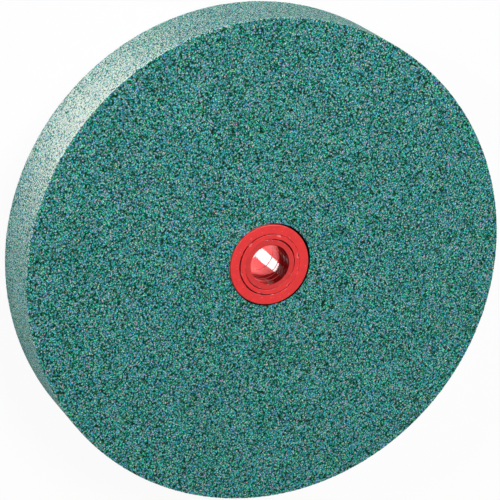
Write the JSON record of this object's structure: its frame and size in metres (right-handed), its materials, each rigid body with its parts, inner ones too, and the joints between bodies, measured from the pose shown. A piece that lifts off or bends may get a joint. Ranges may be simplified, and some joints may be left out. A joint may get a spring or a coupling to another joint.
{
  "type": "grinding wheel",
  "caption": "Straight green silicon carbide grinding wheel for a bench grinder, with nested plastic reducing rings that bring its bore down to the spindle.",
  "frame": {"origin": "centre of the wheel's rear face, which it lies on", "axes": "+Z along the wheel's axis, out of the front face"},
  "size_m": [0.2032, 0.2032, 0.0325],
  "materials": {
    "green_abrasive": "open vitrified silicon carbide grit, matt with small glints",
    "red_plastic": "moulded, satin faces",
    "inner_red_plastic": "moulded, glossy bore"
  },
  "bodies": {
    "root": {"abrasive_wheel": "green_abrasive", "front_outer_ring": "red_plastic", "front_middle_ring": "red_plastic", "front_inner_ring": "inner_red_plastic", "rear_outer_ring": "red_plastic", "rear_middle_ring": "red_plastic", "rear_inner_ring": "inner_red_plastic"}
  },
  "joints": []
}
